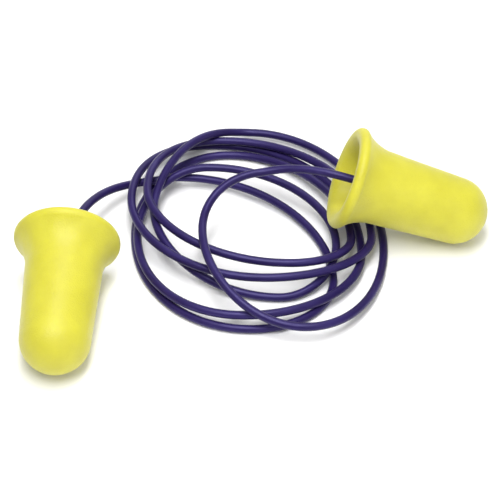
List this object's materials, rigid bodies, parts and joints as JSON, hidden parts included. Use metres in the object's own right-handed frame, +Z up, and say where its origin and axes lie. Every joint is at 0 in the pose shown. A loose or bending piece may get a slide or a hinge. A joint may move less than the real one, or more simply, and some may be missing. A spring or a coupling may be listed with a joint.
{
  "type": "corded foam ear plugs",
  "caption": "Pair of bell-shaped soft foam ear plugs with hollow flared ends, joined by a long flexible vinyl cord lying in a loose coil.",
  "frame": {"origin": "on the table under the middle of the object's bounding box, with both plugs and the coil lying at rest", "axes": "+X from the left plug to the right plug, +Y towards the back of the coil, +Z up from the table"},
  "size_m": [0.0724, 0.0554, 0.0185],
  "materials": {
    "foam": "soft matt skin over fine-celled slow-recovery foam",
    "cord": "semi-gloss extruded vinyl",
    "adhesive": "clear set adhesive, slightly yellow"
  },
  "bodies": {
    "coil": {"cord_turn_1": "cord", "cord_turn_2": "cord", "cord_turn_3": "cord", "cord_turn_4": "cord", "cord_turn_5": "cord", "cord_turn_6": "cord", "cord_rise": "cord"},
    "lead_left_a": {"lead_left_1": "cord", "lead_left_2": "cord"},
    "lead_left_b": {"lead_left_3": "cord", "lead_left_4": "cord"},
    "lead_left_c": {"lead_left_5": "cord", "lead_left_6": "cord"},
    "lead_left_d": {"lead_left_7": "cord", "lead_left_8": "cord"},
    "plug_left": {"plug_left": "foam", "glue_left": "adhesive", "cord_end_left": "cord"},
    "lead_right_a": {"lead_right_1": "cord", "lead_right_2": "cord"},
    "lead_right_b": {"lead_right_3": "cord"},
    "lead_right_c": {"lead_right_4": "cord", "lead_right_5": "cord"},
    "lead_right_d": {"lead_right_6": "cord"},
    "plug_right": {"plug_right": "foam", "glue_right": "adhesive", "cord_end_right": "cord"}
  },
  "joints": [
    {"name": "left_swing", "type": "hinge", "parent": "coil", "child": "lead_left_a", "pos_m": [-0.0168, 0.01451, 0.0021], "axis": [0, 0, -1], "range_deg": [0, 30]},
    {"name": "left_lift", "type": "hinge", "parent": "lead_left_a", "child": "lead_left_b", "pos_m": [-0.02102, 0.01216, 0.0032], "axis": [-0.753, 0.658, 0], "range_deg": [0, 36]},
    {"name": "left_swing_2", "type": "hinge", "parent": "lead_left_b", "child": "lead_left_c", "pos_m": [-0.0246, 0.00723, 0.00548], "axis": [0, 0, -1], "range_deg": [0, 30]},
    {"name": "left_lift_2", "type": "hinge", "parent": "lead_left_c", "child": "lead_left_d", "pos_m": [-0.02716, 0.00013, 0.00739], "axis": [-0.9834, 0.1812, 0], "range_deg": [0, 36]},
    {"name": "left_twist", "type": "hinge", "parent": "lead_left_d", "child": "plug_left", "pos_m": [-0.02833, -0.00874, 0.00736], "axis": [-0.0345, -0.9873, -0.1551], "range_deg": [-90, 90]},
    {"name": "right_swing", "type": "hinge", "parent": "coil", "child": "lead_right_a", "pos_m": [0.0012, 0.00841, 0.0096], "axis": [0, 0, 1], "range_deg": [0, 10]},
    {"name": "right_lift", "type": "hinge", "parent": "lead_right_a", "child": "lead_right_b", "pos_m": [0.00667, 0.0081, 0.01056], "axis": [-0.2659, -0.964, 0], "range_deg": [0, 24]},
    {"name": "right_swing_2", "type": "hinge", "parent": "lead_right_b", "child": "lead_right_c", "pos_m": [0.00927, 0.00738, 0.01088], "axis": [0, 0, 1], "range_deg": [0, 10]},
    {"name": "right_lift_2", "type": "hinge", "parent": "lead_right_c", "child": "lead_right_d", "pos_m": [0.01477, 0.00582, 0.01059], "axis": [-0.1404, -0.9901, 0], "range_deg": [0, 24]},
    {"name": "right_twist", "type": "hinge", "parent": "lead_right_d", "child": "plug_right", "pos_m": [0.01789, 0.00538, 0.00974], "axis": [0.9429, -0.0659, -0.3264], "range_deg": [-90, 90]}
  ],
  "couplings": [
    {"joint": "left_swing_2", "follows": "left_swing", "ratio": 1},
    {"joint": "left_lift_2", "follows": "left_lift", "ratio": 1},
    {"joint": "right_swing_2", "follows": "right_swing", "ratio": 1},
    {"joint": "right_lift_2", "follows": "right_lift", "ratio": 1}
  ]
}
